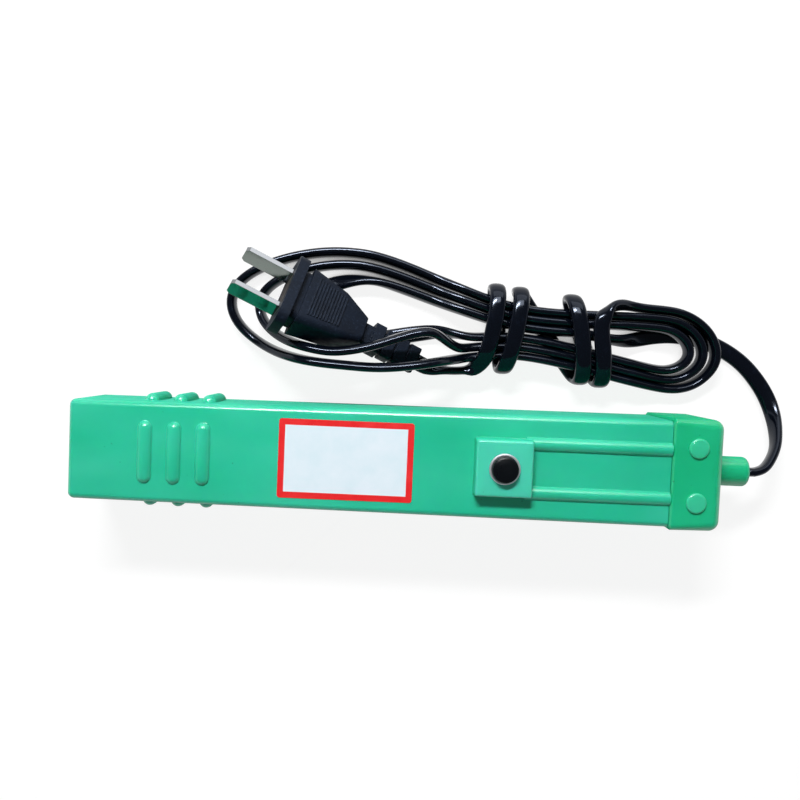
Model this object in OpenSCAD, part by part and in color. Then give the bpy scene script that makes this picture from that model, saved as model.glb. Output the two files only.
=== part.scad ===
// Hand-held degaussing bar with its mains lead tied in a hank
// Lies on its back: +X runs from the nose to the cord spigot, +Z out of the button face

/* [Case] */
// Length of the case from the nose to its open end
case_l = 186.5; // [170:0.5:200]
// How much narrower the case is at the nose than at its open end
taper = 2; // [0.5:0.1:3]
// Thickness of the case wall
wall = 2.2; // [2:0.1:2.6]
// Rounding of the long edges and the nose
edge_r = 1.8; // [1:0.1:2.5]

/* [Grip ribs] */
// Number of grip ribs on each side
ribs = 3; // [2:1:4]
// Distance from the nose to the first rib
rib_from_nose = 22.3; // [15:0.1:30]
// Distance between ribs
rib_pitch = 8.4; // [6:0.1:10]
// Length of a rib
rib_l = 18.2; // [12:0.1:20]
// Width of a rib where it meets the case
rib_w = 4.3; // [3:0.1:5]
// Height of a rib on the front and back
rib_h = 1.4; // [1:0.1:1.4]
// Height of a rib on the two sides
side_rib_h = 2.1; // [1.4:0.1:2.1]

/* [Button block] */
// Distance from the coil's end to the middle of the button
button_from_coil = 16.3; // [15:0.1:22]
// Width of the block at its foot
block_w = 17; // [16.5:0.1:19]
// Width of the block at its top
block_top_w = 16.2; // [14.8:0.1:16.4]
// Height of the block above the case
block_h = 4.3; // [4:0.1:5]
// Thickness of the block's top wall
block_wall = 2; // [1.6:0.1:2.4]
// Rounding of the block's upright edges
block_r = 0.7; // [0.5:0.1:1.5]
// Distance between the two rails behind the block
rail_gap = 14.2; // [12:0.1:15]
// Width of a rail
rail_w = 3.9; // [3:0.1:4.5]
// Height of a rail
rail_h = 1.4; // [1:0.1:1.8]

/* [End cap] */
// Width and height of the end cap, the widest part of the bar
cap_w = 32.4; // [32.2:0.1:34]
// How far the cap stands out beyond the case
cap_proud = 0.7; // [0.5:0.1:1]
// Length of the end cap
cap_l = 15; // [13:0.1:18]
// Thickness of the cap's end wall
cap_end = 2; // [1.5:0.1:3]
// Space between the case and the cap's end wall
cap_gap = 1; // [0.5:0.1:2]
// Rounding of the cap's outer corners
cap_r = 3; // [2:0.1:4]
// Thickness of the reduced case end inside the cap
tenon_wall = 1.1; // [0.9:0.1:1.3]
// Diameter of the cord spigot
spigot_d = 9; // [8:0.1:11]
// Length of the cord spigot
spigot_l = 12.5; // [10:0.5:20]
// Diameter of the bore for the cord
spigot_bore = 5.6; // [5.2:0.1:6.4]
// Rounding of the spigot's end
spigot_r = 1.6; // [0.5:0.1:2]
// Diameter of a peg head
peg_d = 5.9; // [5:0.1:7]
// Height of a peg head
peg_h = 0.9; // [0.6:0.1:1.2]
// Diameter of a peg's shank
peg_shank = 3.4; // [2.5:0.1:4]
// Distance between the two pegs
peg_gap = 15.8; // [12:0.1:17]
// Distance of the pegs from the cap's end
peg_from_end = 7.7; // [6:0.1:8.5]

/* [Label] */
// Length of the label
label_l = 39; // [30:0.5:44]
// Width of the label
label_w = 23; // [18:0.5:25]
// Thickness of the label
label_t = 0.15; // [0.1:0.05:0.3]
// Distance from the nose to the middle of the label
label_from_nose = 80.5; // [75:0.5:85]

/* [Switch] */
// Diameter of the button
button_d = 7.5; // [6.5:0.1:8]
// Height of the button above its bezel
button_h = 2.4; // [2.2:0.1:3.5]
// Travel of the button
button_travel = 1.8; // [1:0.1:1.9]
// Outer diameter of the bezel
bezel_d = 8.9; // [8.9:0.1:9.6]
// Height of the bezel above the block
bezel_h = 0.6; // [0.3:0.1:1]
// Width of the switch housing
switch_w = 11.6; // [11.2:0.1:11.8]
// Height of the switch housing
switch_h = 8.6; // [8.6:0.1:10]
// Thickness of the switch base
base_t = 1.4; // [1:0.1:2]
// Diameter of the button's stem
stem_d = 4.2; // [3.5:0.1:4.4]
// Wire of the return spring
spring_wire = 0.4; // [0.3:0.05:0.5]
// Turns of the return spring
spring_turns = 4; // [3:1:5]

/* [Coil] */
// Length of the bobbin
bobbin_l = 104; // [80:1:110]
// Depth of the winding round the bobbin
winding_t = 4; // [3:0.1:5]
// Number of core strips
core_strips = 12; // [8:1:16]
// How far the core stands out behind the bobbin
core_proud = 5; // [4:0.5:6]
// Thickness of the bobbin wall
bobbin_wall = 0.8; // [0.6:0.1:1.2]
// Thickness of the bobbin flanges
flange_t = 1.6; // [1:0.1:2.5]
// Space between the winding and the case
winding_gap = 1.3; // [0.8:0.1:2.5]
// Thickness of the tape over the winding
tape_t = 0.3; // [0.2:0.1:0.5]
// Thickness of the coil retainer
retainer_t = 2.5; // [2:0.1:4]

/* [Cord] */
// Wide side of the flat twin cord
cord_w = 4.8; // [4.4:0.1:4.8]
// Narrow side of the flat twin cord
cord_t = 2.4; // [2:0.1:2.4]
// Diameter of the single wires inside the case
wire_d = 1.6; // [1.2:0.1:1.8]

/* [Plug] */
// Length of the plug from its face to the end of the strain relief
plug_l = 46; // [46:0.5:48]
// Width of the plug's flange
plug_flange_w = 25; // [23:0.5:26]
// Height of the plug's flange
plug_flange_h = 13; // [11:0.5:13]
// Distance between the blades
blade_gap = 12.7; // [12.7]
// Width of a blade
blade_w = 6.3; // [6.3]
// Thickness of a blade
blade_t = 1.5; // [1.5]
// Length of a blade outside the plug
blade_l = 15.5; // [15.5:0.1:18]

/* [Hidden] */
$fn = 48;
hull_fn = 32;

// Clearances
fit = 0.1;
running = 0.1;
seat = 0.02;
skin = 0.01;

// Places along the case
overall_l = case_l + cap_gap + cap_end + spigot_l;
nose_x = -overall_l / 2;
open_x = nose_x + case_l;
cap_x = open_x + cap_gap + cap_end;
rim_x = cap_x - cap_l;
exit_x = cap_x + spigot_l;
axis_z = cap_w / 2;
open_w = cap_w - 2 * cap_proud;
nose_w = open_w - taper;
draft = atan((open_w - nose_w) / 2 / case_l);
label_x = nose_x + label_from_nose;
peg_x = cap_x - peg_from_end;
tenon_w = 2 * (half_at(rim_x) - wall + tenon_wall);
cap_cavity_w = tenon_w + 2 * fit;
rim_bevel = 0.6;
peg_edge = 0.6;

// Places of the coil
core_front = 3;
core_x = nose_x + wall + 0.5;
core_l = core_front + bobbin_l + core_proud;
bobbin_x = core_x + core_front;
bobbin_end_x = bobbin_x + bobbin_l;
button_x = bobbin_end_x + button_from_coil;
winding_w = nose_w - 2 * wall - 2 * winding_gap;
winding_r = 2.5;
former_w = winding_w - 2 * winding_t;
bore_w = former_w - 2 * bobbin_wall;
core_w = bore_w - 4 * fit;
strip_t = core_w / core_strips;
retainer_x = bobbin_end_x + seat;
sleeve_d = wire_d + 1.2;
sleeve_l = 6.3;
sleeve_gap = 0.5;
sleeve_y = bore_w / 2 + sleeve_d / 2 + sleeve_gap;
window_w = 2 * (sleeve_y + sleeve_d / 2 + sleeve_gap);

// Heights in the button block
face_z = axis_z + half_at(button_x);
block_z = face_z + block_h;
pocket_z = block_z - block_wall;
pocket_w = switch_w + 2 * fit;
bezel_z = block_z + bezel_h;
bezel_lip = 1;
bezel_wall = 0.35;
bezel_flange_t = 1;
bezel_flange_d = bezel_d + 2;
bezel_bore = bezel_d - 2 * bezel_wall;
button_flange_d = bezel_bore - 2 * running;
button_flange_t = 1.2;
button_flange_z = bezel_z - bezel_lip - running;
button_top_z = bezel_z + button_h;
button_edge = 0.5;
switch_z = pocket_z - bezel_flange_t;
switch_base_z = switch_z - switch_h;
spring_seat_z = switch_z - 3;
ledge_t = 1;
spring_top_z = button_flange_z - button_flange_t;
spring_id = stem_d + 4 * running;
chamber_d = 9.4;
bridge_d = chamber_d - 1;
bridge_t = 0.5;
terminal_gap = 6;
terminal_w = 2;
terminal_t = 0.6;
tag_l = 4.5;
contact_gap = 0.1;
pad_z = switch_base_z + terminal_t;
bridge_z = pad_z + button_travel + contact_gap;
rivet_d = 1.6;
stake_d = 2.6;
stake_t = 0.25;
button_dome = 0.4;
tag_z = switch_base_z - base_t - tag_l;
tag_wire_z = tag_z + 1.2;

// Places of the cord inside the case
inner_x = cap_x - 11;
stop_x = cap_x - cap_end - seat;
stop_l = 5;
stop_d = spigot_d + 1;

// Sizes of the plug
relief_l = 17;
relief_parts = 4;
relief_part_l = 3.4;
relief_end_w = 8.4;
relief_end_h = 4.6;
relief_step = 0.4;
neck_w = 9.6;
neck_h = 7;
waist_from_face = 17.5;
plug_waist_w = 16.8;
plug_waist_h = 10.6;
shell_w = 20.5;
shell_h = 12;
shell_r = 2.4;
shoulder_x = relief_l + 2.5;
groove_l = 2.4;
groove_d = 1.4;
plug_flange_t = 3.2;
shell_x = plug_l - plug_flange_t;
plug_waist_x = plug_l - waist_from_face;
panel_ribs = 11;
panel_x = plug_waist_x - 0.4;
panel_pitch = 0.98;
panel_rib_d = 0.64;
panel_margin = 3;
insert_x = plug_l - 8;
insert_w = blade_gap + blade_t + 1.6;
insert_h = blade_w + 1.4;
blade_root = insert_x + 1;
blade_chamfer = 1;

// Half the outer width of the case at x, and half the width of its cavity
function half_at(x) = (nose_w + (open_w - nose_w) * (x - nose_x) / case_l) / 2;
function cavity_at(x) = half_at(x) - wall;

// Radius of a round bar that stands h above a face and is w wide there
function bar_r(w, h) = (w * w / 4 + h * h) / (2 * h);

// A rise from 0 to 1 with a soft start and end
function ease(t) = let (c = min(1, max(0, t))) c * c * (3 - 2 * c);
function unit(v) = v / norm(v);
function flat_to(v, along) = unit(v - (v * along) * along);

// Hank of the cord: ends, waist and lobes of the loops
hank_turns = 3;
loop_rings = 64;
right_end = 93.4;
right_step = 4.2;
left_end = -60.4;
left_step = 6;
left_step_growth = 3;
waist_x = 34;
waist_half = 8.7;
left_lobe_x = -20;
left_half = 19.6;
right_lobe_x = 80;
right_half = 12.2;
strand_gap = 0.45;
run_pitch = cord_t + strand_gap;
left_spread = 1.05;
lower_spread = 0.6;
spread_from_x = 34;
spread_over = 45;
hank_y = 43.7;
hank_slope = -0.1;
hank_droop = 3.6;
lean = 10;
flat_lean = -85;
cord_rest = 0.15;
under_lift = cord_t + 0.7;
relief_lift = 15;
inner_rise = 3;
middle_rise = 6.5;
loop_start = 64;
loop_end = 3 * 360 + 46;

function turns_in(a) = hank_turns - a / 360;
function right_x(k) = right_end - right_step * k;
function left_x(k) = let (j = k - 0.5) left_end + left_step * j + left_step_growth * j * j;
function lobe_half(x) = x < waist_x
    ? waist_half + (left_half - waist_half) * ease((waist_x - x) / (waist_x - left_lobe_x))
    : waist_half + (right_half - waist_half) * ease((x - waist_x) / (right_lobe_x - waist_x));
function pitch_at(x, side) =
    run_pitch + (side > 0 ? left_spread : lower_spread) * ease((spread_from_x - x) / spread_over);
function round_end(d, r) = d >= r ? 1 : sqrt(max(0, 1 - pow(1 - d / r, 2)));
function right_bend(k) = 15 - 3 * k;
function left_bend(k) = 37 - 6.5 * (k - 0.5);
function hank_mid(x) = hank_y + hank_slope * x - hank_droop * ease((-16 - x) / 44);

// Height of a loop: flat on the surface at the ends, raised over the wraps, the lead and the relief
function wrap_lift(x) = under_lift * ease((x - 3) / 11) * ease((78 - x) / 12);
function lead_lift(x, y) = under_lift * ease((x - 60) / 8) * ease((y - 27) / 8);

// Shift of the inner loops where one passes under the strain relief and the other over it
function rise_at(x, k) =
    k < 0.7 ? 0
    : k < 1.7 ? middle_rise * ease((x + 30) / 32) * ease((13.5 - x) / 12)
    : inner_rise * ease((x + 30) / 30) * ease((18 - x) / 14);
function hump(x, y, k) = k > 1.9 || y > 44 ? 0
    : relief_lift * ease((x + 54) / 22) * ease((20 - x) / 19) * ease((44 - y) / 5);
function loop_point(a) =
    let (
        k = turns_in(a),
        middle = (right_x(k) + left_x(k)) / 2,
        reach = (right_x(k) - left_x(k)) / 2,
        x = middle + reach * cos(a),
        s = round_end(right_x(k) - x, right_bend(k)) * round_end(x - left_x(k), left_bend(k)),
        side = sin(a) >= 0 ? 1 : -1,
        rise = side > 0 ? 0 : rise_at(x, k),
        y = hank_mid(x) + s * (side * (lobe_half(x) - k * pitch_at(x, side)) + rise),
        lift = max(wrap_lift(x), lead_lift(x, y), hump(x, y, k)),
        stand = (cord_w - cord_t) / 2 * cos(loop_lean(a)) + cord_t / 2
    )
    [x, y, stand + cord_rest + lift];

// The first loop lies flat where it passes under the plug, the others stand on edge
function loop_lean(a) = lean + (flat_lean - lean) * ease((a - 122) / 40) * ease((266 - a) / 22);
function loop_wide(a) =
    let (
        ahead = unit(loop_point(a + 1) - loop_point(a - 1)),
        out = unit([ahead[1], -ahead[0], 0])
    )
    [out[0] * sin(loop_lean(a)), out[1] * sin(loop_lean(a)), cos(loop_lean(a))];
loop_count = round((loop_end - loop_start) / 360 * loop_rings);
loop_angles = [for (i = [0:loop_count]) loop_start + (loop_end - loop_start) * i / loop_count];
loop_path = [for (a = loop_angles) loop_point(a)];
loop_sides = [for (a = loop_angles) loop_wide(a)];

// Wraps round the waist: x at each half turn, over the bundle and back under it
wrap_x = [53.1, 56.9, 46.9, 50.7, 30.6, 26.2, 23.2, 19.6];
wrap_rings = 14;
wrap_start = 70;
wrap_end = 7 * 180 - 16;
wrap_half = 12.9;
wrap_shift = -0.6;
wrap_bow = 1.1;
wrap_top = 6.4;
wrap_mid_z = under_lift + cord_w / 2 + cord_rest;
wrap_bottom = wrap_mid_z - cord_t / 2 - cord_rest;
wrap_top_power = 2.4;
wrap_bottom_power = 5;
function wrap_at(a) =
    let (i = min(len(wrap_x) - 2, floor(a / 180)), f = (1 - cos(a - 180 * i)) / 2)
    wrap_x[i] + (wrap_x[i + 1] - wrap_x[i]) * f;
function wrap_point(a) =
    let (
        x = wrap_at(a),
        c = cos(a),
        up = sin(a) >= 0,
        power = up ? wrap_top_power : wrap_bottom_power,
        rise = pow(max(0, 1 - pow(abs(c), power)), 1 / power)
    )
    [
        x + wrap_bow * max(0, sin(a)), hank_mid(x) + wrap_shift + wrap_half * c,
        wrap_mid_z + (up ? wrap_top : -wrap_bottom) * rise
    ];
wrap_count = round((wrap_end - wrap_start) / 180 * wrap_rings);
wrap_angles = [for (i = [0:wrap_count]) wrap_start + (wrap_end - wrap_start) * i / wrap_count];
wrap_path = [for (a = wrap_angles) wrap_point(a)];
wrap_sides = [for (a = wrap_angles) [1, 0, 0]];

// The plug lies on the loops with its strain relief between the first loop and the others
plug_at = [-1.4, 29.4, 6];
plug_yaw = 155;
plug_pitch = 14;
plug_roll = 34;
relief_twist = -25;
plug_ahead = [cos(plug_pitch) * cos(plug_yaw), cos(plug_pitch) * sin(plug_yaw), sin(plug_pitch)];
plug_across = [-sin(plug_yaw), cos(plug_yaw), 0];
plug_over = cross(plug_ahead, plug_across);
end_roll = plug_roll + relief_twist;
end_wide = plug_across * cos(end_roll) + plug_over * sin(end_roll);

// Route of the cord where it is not wound, with its wide side at each point
lead_points = [
    [exit_x, 0, axis_z], [exit_x + 3, 0, axis_z], [exit_x + 5.8, 0.9, axis_z - 1], [109.4, 3.6, 13.4],
    [111.8, 7.4, 10.8], [112.9, 12, 7.6], [113, 16.6, 4.8], [111.4, 22.4, 2.8], [107.8, 28.2, 1.8],
    [102.8, 33.4, 1.4], [96, 37.6, 1.3], [89, 40, 1.3], [81, 41, 1.3], [74, 40.4, 1.5],
    [68, 39, 2.8], [61.5, 38.6, 5]
];
lead_sides = [
    [0, 0, 1], [0, 0, 1], [0, 0.1, 1], [0, 0.2, 1],
    [0.1, 0.4, 1], [0.3, 0.4, 0.9], [0.5, 0.2, 0.7], [0.9, 0.3, 0.4], [0.8, 0.6, 0.1],
    [0.7, 0.8, 0], [0.5, 1, 0], [0.3, 1, 0], [0, 1, 0], [-0.1, 1, 0.1],
    [-0.1, 1, 0.6], [0, 0.4, 1]
];
fold_points = [[65.5, 49.4, 6.2], [61.5, 49.5, 8.7], [57.8, 48.2, 11.2], [55.8, 45, 12.3]];
fold_sides = [[0, 0.2, 1], [0.1, 0.4, 0.9], [0.6, 0.6, 0.5], [1, 0.3, 0.1]];
tail_points = [
    [18, 27.6, 5.6], [15, 26.6, 3.6], [11, 26.4, 2.75], [7, 26.8, 3.4],
    plug_at - cord_w * plug_ahead, plug_at
];
tail_sides = [[1, 0, 0.6], [0.4, 0, 1], [0.1, 0.1, 1], [0.1, 0.6, 0.8], end_wide, end_wide];

// The whole cord as one path, cut into its pieces at these points
cord_path = concat(lead_points, loop_path, fold_points, wrap_path, tail_points);
cord_sides = concat(lead_sides, loop_sides, fold_sides, wrap_sides, tail_sides);
cord_last = len(cord_path) - 1;
loops_from = len(lead_points);
loops_to = loops_from + loop_count;
wraps_to = loops_to + len(fold_points) + len(wrap_path);

// Outline of the flat twin cord, wide side first
cord_bevel = 0.29 * cord_t;
cord_outline = [
    for (q = [[1, 1, 0], [1, 1, 1], [-1, 1, 1], [-1, 1, 0], [-1, -1, 0], [-1, -1, 1], [1, -1, 1], [1, -1, 0]])
        [q[0] * (cord_w / 2 - q[2] * cord_bevel), q[1] * (cord_t / 2 - (1 - q[2]) * cord_bevel)]
];
function ahead_at(path, i) = unit(path[min(i + 1, len(path) - 1)] - path[max(i - 1, 0)]);
function ring(p, along, wide, outline) =
    let (w = flat_to(wide, along), n = cross(along, w))
    [for (q = outline) p + w * q[0] + n * q[1]];

// Least gap between two stretches of the cord that lie side by side
bar_half = (cord_w - cord_t) / 2;
function bar_points(i) =
    let (w = flat_to(cord_sides[i], ahead_at(cord_path, i)))
    [for (f = [-1, -0.5, 0, 0.5, 1]) cord_path[i] + w * bar_half * f];
function between(i, f) = bar_points(i) * (1 - f) + bar_points(i + 1) * f;
function bar_gap(p, q) = min([for (a = p, b = q) norm(a - b)]) - cord_t;
function least_gap(from, to, skip) =
    let (bars = [for (i = [from:to - 1]) each [bar_points(i), between(i, 1 / 3), between(i, 2 / 3)]], last = len(bars) - 1)
    min([
        for (i = [0:last], j = [i + skip:1:last])
            if (norm(bars[i][2] - bars[j][2]) < 3 * cord_w) bar_gap(bars[i], bars[j])
    ]);

// Routes of the single wires inside the case
core_z = cord_w / 4;
tag_reach = terminal_gap / 2 + terminal_t / 2 + seat;
splice_x = bobbin_end_x + 2;
straight_l = 3;
wire_dip = 2.2;
function part_way(a, b, f) = a + (b - a) * f;
function toward_button(f) = part_way(inner_x, button_x, f);
live_route = [
    [inner_x - seat, 0, axis_z + core_z], [inner_x - straight_l, 0, axis_z + core_z],
    [toward_button(0.25), 0.18 * sleeve_y, part_way(axis_z, tag_wire_z, 0.6)],
    [toward_button(0.5), 0.3 * sleeve_y, part_way(axis_z, tag_wire_z, 0.9)],
    [toward_button(0.75), 0.18 * sleeve_y, tag_wire_z], [button_x + tag_reach + straight_l, 0, tag_wire_z],
    [button_x + tag_reach, 0, tag_wire_z]
];
neutral_route = [
    [inner_x - seat, 0, axis_z - core_z], [inner_x - straight_l, 0, axis_z - core_z],
    [toward_button(0.25), -0.2 * sleeve_y, axis_z - wire_dip],
    [toward_button(0.5), -0.55 * sleeve_y, axis_z - 0.8 * wire_dip],
    [toward_button(0.8), -0.9 * sleeve_y, axis_z - 0.3 * wire_dip], [button_x + 0.4 * straight_l, -sleeve_y, axis_z],
    [bobbin_end_x + sleeve_l + straight_l, -sleeve_y, axis_z], [splice_x, -sleeve_y, axis_z]
];

// Down from the switch and round to the sleeve: steps back from the tag, out to the side and down
switched_bend = [[0.9, 0.1, 0.05], [1.1, 0.35, 0.25], [1.15, 0.65, 0.55], [1.3, 0.85, 0.8], [1.7, 0.97, 0.95]];
switched_route = [
    [button_x - tag_reach, 0, tag_wire_z], [button_x - tag_reach - 0.5 * straight_l, 0, tag_wire_z],
    for (q = switched_bend)
        [button_x - tag_reach - q[0] * straight_l, sleeve_y * q[1], part_way(tag_wire_z, axis_z, q[2])],
    [bobbin_end_x + sleeve_l, sleeve_y, axis_z], [splice_x, sleeve_y, axis_z]
];

// Points on an arc about c
function arc(c, r, from, to, steps) =
    [for (i = [0:steps]) let (a = from + (to - from) * i / steps) c + r * [cos(a), sin(a)]];

// Square or oblong outline with rounded corners
module rounded_rect(w, h, r) {
    hull()
        for (x = [-1, 1], y = [-1, 1])
            translate([x * (w / 2 - r), y * (h / 2 - r)])
                circle(r, $fn = hull_fn);
}

// Ball for a rounded corner, whose flat facets touch the faces that it rounds
module ball(r) {
    sphere(r / cos(180 / hull_fn), $fn = hull_fn);
}

// Plate across the axis of the case, from x onwards
module across(x, t) {
    translate([x, 0, axis_z])
        rotate([90, 0, 90])
            linear_extrude(t)
                children();
}

// Round bar with ball ends, along Z about the middle
module capsule(l, r) {
    rotate_extrude($fn = hull_fn)
        polygon(concat(arc([0, -l / 2], r, -90, 0, 6), arc([0, l / 2], r, 0, 90, 6)));
}

// Solid swept along a path from one outline
module sweep(path, sides, outline, from, to) {
    n = len(outline);
    count = to - from + 1;
    rings = [for (i = [from:to]) each ring(path[i], ahead_at(path, i), sides[i], outline)];
    walls = [
        for (i = [0:count - 2], j = [0:n - 1])
            let (a = n * i + j, b = n * i + (j + 1) % n)
            each [[a, a + n, b], [b, a + n, b + n]]
    ];
    end = n * (count - 1);
    first = [for (j = [1:n - 2]) [0, j, j + 1]];
    last = [for (j = [1:n - 2]) [end, end + j + 1, end + j]];
    polyhedron(rings, concat(walls, first, last), convexity = 10);
}

module wire(route) {
    up = [for (p = route) [0, 0, 1]];
    sweep(route, up, arc([0, 0], wire_d / 2, 0, 315, 7), 0, len(route) - 1);
}

// Ribs across one side of the case
module grip_ribs(h) {
    r = bar_r(rib_w, h);
    for (i = [0:ribs - 1]) {
        x = nose_x + rib_from_nose + i * rib_pitch;
        translate([x, 0, half_at(x) + h - r])
            rotate([90, 0, 0])
                capsule(rib_l - rib_w, r);
    }
}

module case_body() {
    corner = nose_w / 2 - edge_r;
    hull() {
        for (y = [-1, 1], z = [-1, 1])
            translate([nose_x + edge_r, y * corner, axis_z + z * corner])
                rotate([0, 90, 0])
                    ball(edge_r);
        across(rim_x - fit - 0.5, 0.5)
            rounded_rect(2 * half_at(rim_x), 2 * half_at(rim_x), edge_r);
    }
    across(rim_x - 1, open_x - rim_x + 1)
        square(tenon_w, center = true);
}

module case_cavity() {
    hull() {
        across(nose_x + wall, 0.1)
            square(2 * cavity_at(nose_x), center = true);
        across(open_x, 1)
            square(2 * cavity_at(open_x), center = true);
    }
}

module button_block() {
    top = block_top_w / 2 - block_r;
    translate([button_x, 0, 0])
        hull() {
            translate([0, 0, face_z - 1])
                linear_extrude(1)
                    rounded_rect(block_w, block_w, block_r);
            for (x = [-1, 1], y = [-1, 1])
                translate([x * top, y * top, block_z - block_r])
                    ball(block_r);
        }
}

// Half-round rail from the block to the cap
module rail(side) {
    r = bar_r(rail_w, rail_h);
    x = button_x + block_w / 2 - 2;
    translate([x, side * rail_gap / 2, axis_z + half_at(x) + rail_h - r])
        rotate([0, 90 - draft, 0])
            cylinder(rim_x - fit - x, r, r, $fn = hull_fn);
}

module at_pegs() {
    for (side = [-1, 1])
        translate([peg_x, side * peg_gap / 2, axis_z])
            children();
}

module peg_holes() {
    at_pegs()
        cylinder(cap_w, peg_shank / 2 + seat, peg_shank / 2 + seat);
}

module case_tube() {
    color("mediumseagreen")
        difference() {
            union() {
                case_body();
                for (turn = [0:90:270])
                    translate([0, 0, axis_z])
                        rotate([turn, 0, 0])
                            grip_ribs(turn % 180 == 0 ? rib_h : side_rib_h);
                button_block();
                rail(-1);
                rail(1);
            }
            case_cavity();
            translate([button_x - pocket_w / 2, -pocket_w / 2, axis_z])
                cube([pocket_w, pocket_w, pocket_z - axis_z]);
            translate([button_x, 0, axis_z])
                cylinder(cap_w, bezel_d / 2 + seat, bezel_d / 2 + seat);
            peg_holes();
        }
}

// Cap over the open end, with the spigot that the cord leaves by
module cap_body() {
    corner = cap_w / 2 - cap_r;
    hull() {
        for (y = [-1, 1], z = [-1, 1])
            translate([cap_x - cap_r, y * corner, axis_z + z * corner])
                rotate([0, 90, 0])
                    ball(cap_r);
        across(rim_x, 0.1)
            rounded_rect(cap_w - 2 * rim_bevel, cap_w - 2 * rim_bevel, edge_r);
        across(rim_x + rim_bevel, 0.1)
            rounded_rect(cap_w, cap_w, edge_r);
    }
}

module spigot() {
    r = spigot_d / 2;
    root = cap_end / 2;
    profile = concat(
        [[0, -root], [r, -root]],
        arc([r - spigot_r, spigot_l - spigot_r], spigot_r, 0, 90, 6),
        [[0, spigot_l]]
    );
    translate([cap_x, 0, axis_z])
        rotate([0, 90, 0])
            rotate_extrude()
                polygon(profile);
}

module end_cap() {
    color("seagreen")
        difference() {
            union() {
                cap_body();
                spigot();
            }
            across(rim_x - 1, cap_l - cap_end + 1)
                square(cap_cavity_w, center = true);
            across(cap_x - 2 * cap_end, spigot_l + 4 * cap_end)
                circle(spigot_bore / 2);
            peg_holes();
        }
}

// Low-headed pegs through the cap and the case
module cap_rivets() {
    head_z = cap_w / 2 + seat;
    foot_z = cavity_at(peg_x) - 0.5;
    profile = concat(
        [[0, foot_z], [peg_shank / 2 - 0.3, foot_z], [peg_shank / 2, foot_z + 0.3], [peg_shank / 2, head_z]],
        [[peg_d / 2, head_z]],
        arc([peg_d / 2 - peg_edge, head_z + peg_h - peg_edge], peg_edge, 0, 90, 5),
        [[0, head_z + peg_h]]
    );
    color("mediumseagreen")
        at_pegs()
            rotate_extrude()
                polygon(profile);
}

module label() {
    color("white")
        translate([label_x, 0, axis_z + half_at(label_x) + skin])
            rotate([0, -draft, 0])
                linear_extrude(label_t)
                    rounded_rect(label_l, label_w, 0.8);
}

// Turned piece of the switch, from points of radius and height
module turned(profile) {
    translate([button_x, 0, 0])
        rotate_extrude()
            polygon(profile);
}

// Bright ring round the button, with a flange under the block
module switch_bezel() {
    r = bezel_d / 2;
    lip_r = button_d / 2 + running;
    bore_r = bezel_bore / 2;
    edge = 0.25;
    color("silver")
        turned([
            [bore_r, switch_z], [bezel_flange_d / 2, switch_z], [bezel_flange_d / 2, pocket_z - seat],
            [r, pocket_z - seat], [r, bezel_z - edge], [r - edge, bezel_z], [lip_r, bezel_z],
            [lip_r, bezel_z - bezel_lip], [bore_r, bezel_z - bezel_lip]
        ]);
}

// Button with its flange, stem and the stake that holds the contact disc
module button() {
    r = button_d / 2;
    stem_r = stem_d / 2;
    stake_r = stake_d / 2;
    profile = concat(
        [
            [0, bridge_z - stake_t], [stake_r, bridge_z - stake_t], [stake_r, bridge_z - skin],
            [rivet_d / 2, bridge_z - skin], [rivet_d / 2, bridge_z + bridge_t + skin],
            [stem_r, bridge_z + bridge_t + skin], [stem_r, spring_top_z], [button_flange_d / 2, spring_top_z],
            [button_flange_d / 2, button_flange_z], [r, button_flange_z]
        ],
        arc([r - button_edge, button_top_z - button_edge - button_dome], button_edge, 0, 60, 4),
        [[r / 2, button_top_z - button_dome / 4], [0, button_top_z]]
    );
    color("dimgray")
        turned(profile);
}

module contact_bridge() {
    color("gold")
        turned([
            [rivet_d / 2 + skin, bridge_z], [bridge_d / 2, bridge_z],
            [bridge_d / 2, bridge_z + bridge_t], [rivet_d / 2 + skin, bridge_z + bridge_t]
        ]);
}

// Coil spring with a closed turn at each end
module return_spring() {
    r = (spring_id + spring_wire) / 2;
    steps = 16;
    low = spring_seat_z + seat + spring_wire / 2;
    high = spring_top_z - seat - spring_wire / 2;
    closed = spring_wire + 0.1;
    turns = spring_turns + 2;
    path = [
        for (i = [0:turns * steps])
            let (
                t = i / steps,
                z = low + closed * min(t, 1) + closed * max(t - turns + 1, 0)
                    + (high - low - 2 * closed) * min(1, max(0, (t - 1) / spring_turns))
            )
            [button_x + r * cos(360 * t), r * sin(360 * t), z]
    ];
    up = [for (p = path) [0, 0, 1]];
    color("silver")
        sweep(path, up, arc([0, 0], spring_wire / 2, 0, 300, 5), 0, turns * steps);
}

module switch_body() {
    color("ivory")
        difference() {
            translate([button_x - switch_w / 2, -switch_w / 2, switch_base_z])
                cube([switch_w, switch_w, switch_h - seat]);
            translate([button_x, 0, spring_seat_z])
                cylinder(switch_h, bezel_bore / 2, bezel_bore / 2);
            translate([button_x, 0, switch_base_z - 1])
                cylinder(switch_h, stem_d / 2 + running, stem_d / 2 + running);
            translate([button_x, 0, switch_base_z - 1])
                cylinder(spring_seat_z - ledge_t - switch_base_z + 1, chamber_d / 2, chamber_d / 2);
        }
}

module at_terminals() {
    for (side = [-1, 1])
        translate([button_x + side * terminal_gap / 2, 0, 0])
            children();
}

// Plate that closes the switch and holds its terminals
module switch_base() {
    slot = [terminal_t + 2 * seat, terminal_w + 2 * seat, 3 * base_t];
    color("sienna")
        difference() {
            translate([button_x - switch_w / 2, -switch_w / 2, switch_base_z - base_t - seat])
                cube([switch_w, switch_w, base_t]);
            at_terminals()
                translate([0, 0, switch_base_z - base_t])
                    cube(slot, center = true);
        }
}

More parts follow.
